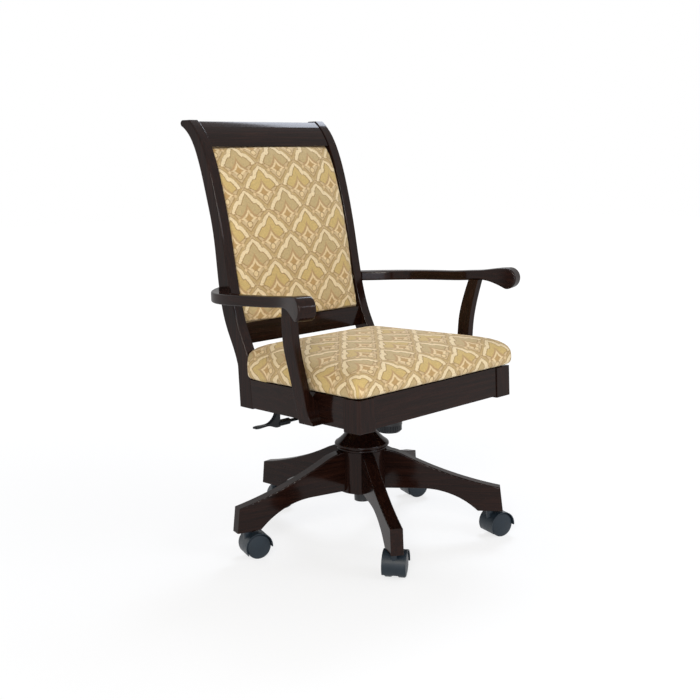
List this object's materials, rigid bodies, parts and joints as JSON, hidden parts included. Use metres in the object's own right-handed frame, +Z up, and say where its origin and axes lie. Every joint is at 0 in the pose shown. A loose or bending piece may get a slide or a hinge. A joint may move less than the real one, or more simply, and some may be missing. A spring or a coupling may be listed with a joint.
{
  "type": "desk chair",
  "caption": "Wooden swivel desk chair: scrolled back and padded seat in patterned fabric, bowed open arms, footed star base on twin-wheel casters.",
  "frame": {"origin": "on the floor, under the axis of the gas column", "axes": "+Z up; the chair's front faces -Y; the sitter's left is +X"},
  "size_m": [0.7664, 0.6938, 1.035],
  "materials": {
    "dark_wood": "satin-gloss espresso lacquer",
    "plain_wood": "unfinished",
    "fabric": "woven ogee damask",
    "caster_plastic": "satin blue-black",
    "black_plastic": "satin black",
    "black_metal": "gloss black",
    "steel": "zinc plated"
  },
  "bodies": {
    "base": {"leg_1": "dark_wood", "leg_2": "dark_wood", "leg_3": "dark_wood", "leg_4": "dark_wood", "leg_5": "dark_wood", "hub_column": "dark_wood", "hub_cap": "dark_wood", "column_tube": "black_metal", "tube_guide": "black_plastic", "thrust_bearing": "steel", "leg_bolts": "steel", "caster_stems": "steel"},
    "caster_1": {"caster_1_hood": "caster_plastic"},
    "caster_1_wheel_left": {"caster_1_wheel_left": "caster_plastic"},
    "caster_1_wheel_right": {"caster_1_wheel_right": "caster_plastic"},
    "caster_2": {"caster_2_hood": "caster_plastic"},
    "caster_2_wheel_left": {"caster_2_wheel_left": "caster_plastic"},
    "caster_2_wheel_right": {"caster_2_wheel_right": "caster_plastic"},
    "caster_3": {"caster_3_hood": "caster_plastic"},
    "caster_3_wheel_left": {"caster_3_wheel_left": "caster_plastic"},
    "caster_3_wheel_right": {"caster_3_wheel_right": "caster_plastic"},
    "caster_4": {"caster_4_hood": "caster_plastic"},
    "caster_4_wheel_left": {"caster_4_wheel_left": "caster_plastic"},
    "caster_4_wheel_right": {"caster_4_wheel_right": "caster_plastic"},
    "caster_5": {"caster_5_hood": "caster_plastic"},
    "caster_5_wheel_left": {"caster_5_wheel_left": "caster_plastic"},
    "caster_5_wheel_right": {"caster_5_wheel_right": "caster_plastic"},
    "rod": {"gas_rod": "steel"},
    "cylinder": {"gas_cylinder": "black_metal", "tilt_socket": "black_metal"},
    "button": {"release_button": "steel"},
    "seat": {"mechanism_pan": "black_metal", "tilt_pin": "steel", "tension_spring": "steel", "side_rail_left": "dark_wood", "side_rail_right": "dark_wood", "front_rail": "dark_wood", "rear_rail": "plain_wood", "front_post_left": "dark_wood", "front_post_right": "dark_wood", "cross_rails": "plain_wood", "seat_board": "plain_wood", "seat_cushion": "fabric", "back_post_left": "dark_wood", "back_post_right": "dark_wood", "crest_rail": "dark_wood", "lower_back_rail": "dark_wood", "back_board": "plain_wood", "back_cushion": "fabric", "back_cover": "fabric", "arm_left": "dark_wood", "arm_right": "dark_wood", "support_left": "dark_wood", "support_right": "dark_wood", "seat_screws": "steel"},
    "knob": {"tension_knob": "black_plastic", "knob_bolt": "steel"},
    "cup": {"spring_cup": "steel"},
    "lever": {"lever_rod": "steel", "lever_handle": "black_plastic"}
  },
  "joints": [
    {"name": "caster_1_swivel", "type": "hinge", "parent": "base", "child": "caster_1", "pos_m": [-0.174, -0.26856, 0.066], "axis": [0, 0, 1], "continuous": true},
    {"name": "caster_1_wheel_left_roll", "type": "hinge", "parent": "caster_1", "child": "caster_1_wheel_left", "pos_m": [-0.15723, -0.25766, 0.03], "axis": [-0.5446, 0.8387, 0], "continuous": true},
    {"name": "caster_1_wheel_right_roll", "type": "hinge", "parent": "caster_1", "child": "caster_1_wheel_right", "pos_m": [-0.15723, -0.25766, 0.03], "axis": [-0.5446, 0.8387, 0], "continuous": true},
    {"name": "caster_2_swivel", "type": "hinge", "parent": "base", "child": "caster_2", "pos_m": [0.20164, -0.24848, 0.066], "axis": [0, 0, 1], "continuous": true},
    {"name": "caster_2_wheel_left_roll", "type": "hinge", "parent": "caster_2", "child": "caster_2_wheel_left", "pos_m": [0.22077, -0.25432, 0.03], "axis": [0.2924, 0.9563, 0], "continuous": true},
    {"name": "caster_2_wheel_right_roll", "type": "hinge", "parent": "caster_2", "child": "caster_2_wheel_right", "pos_m": [0.22077, -0.25432, 0.03], "axis": [0.2924, 0.9563, 0], "continuous": true},
    {"name": "caster_3_swivel", "type": "hinge", "parent": "base", "child": "caster_3", "pos_m": [0.29862, 0.11499, 0.066], "axis": [0, 0, 1], "continuous": true},
    {"name": "caster_3_wheel_left_roll", "type": "hinge", "parent": "caster_3", "child": "caster_3_wheel_left", "pos_m": [0.3173, 0.10782, 0.03], "axis": [0.3584, 0.9336, 0], "continuous": true},
    {"name": "caster_3_wheel_right_roll", "type": "hinge", "parent": "caster_3", "child": "caster_3_wheel_right", "pos_m": [0.3173, 0.10782, 0.03], "axis": [0.3584, 0.9336, 0], "continuous": true},
    {"name": "caster_4_swivel", "type": "hinge", "parent": "base", "child": "caster_4", "pos_m": [-0.01708, 0.31954, 0.066], "axis": [0, 0, 1], "continuous": true},
    {"name": "caster_4_wheel_left_roll", "type": "hinge", "parent": "caster_4", "child": "caster_4_wheel_left", "pos_m": [0.00119, 0.31141, 0.03], "axis": [0.4067, 0.9135, 0], "continuous": true},
    {"name": "caster_4_wheel_right_roll", "type": "hinge", "parent": "caster_4", "child": "caster_4_wheel_right", "pos_m": [0.00119, 0.31141, 0.03], "axis": [0.4067, 0.9135, 0], "continuous": true},
    {"name": "caster_5_swivel", "type": "hinge", "parent": "base", "child": "caster_5", "pos_m": [-0.30918, 0.0825, 0.066], "axis": [0, 0, 1], "continuous": true},
    {"name": "caster_5_wheel_left_roll", "type": "hinge", "parent": "caster_5", "child": "caster_5_wheel_left", "pos_m": [-0.29039, 0.07566, 0.03], "axis": [0.342, 0.9397, 0], "continuous": true},
    {"name": "caster_5_wheel_right_roll", "type": "hinge", "parent": "caster_5", "child": "caster_5_wheel_right", "pos_m": [-0.29039, 0.07566, 0.03], "axis": [0.342, 0.9397, 0], "continuous": true},
    {"name": "seat_swivel", "type": "hinge", "parent": "base", "child": "rod", "pos_m": [0, 0, 0.098], "axis": [0, 0, 1], "continuous": true},
    {"name": "seat_lift", "type": "slide", "parent": "rod", "child": "cylinder", "axis": [0, 0, 1], "range_m": [0, 0.1]},
    {"name": "button_press", "type": "slide", "parent": "cylinder", "child": "button", "axis": [0, 0, -1], "range_m": [0, 0.0042]},
    {"name": "seat_tilt", "type": "hinge", "parent": "cylinder", "child": "seat", "pos_m": [0, 0.035, 0.332], "axis": [-1, 0, 0], "range_deg": [0, 10], "stiffness_Nm_per_rad": 160, "springref_deg": -20.05},
    {"name": "tension_turn", "type": "hinge", "parent": "seat", "child": "knob", "pos_m": [0, -0.094, 0.2905], "axis": [0, 0, 1], "range_deg": [0, 1080]},
    {"name": "cup_rise", "type": "slide", "parent": "seat", "child": "cup", "axis": [0, 0, 1], "range_m": [0, 0.00605], "deforming": ["tension_spring"]},
    {"name": "lever_lift", "type": "hinge", "parent": "seat", "child": "lever", "pos_m": [-0.0465, 0.088, 0.308], "axis": [0, 1, 0], "range_deg": [0, 5], "stiffness_Nm_per_rad": 2, "springref_deg": -17.19}
  ],
  "couplings": [
    {"joint": "cup_rise", "follows": "tension_turn", "m_per_rad": 0.00031831},
    {"joint": "button_press", "follows": "lever_lift", "m_per_rad": 0.0465}
  ]
}
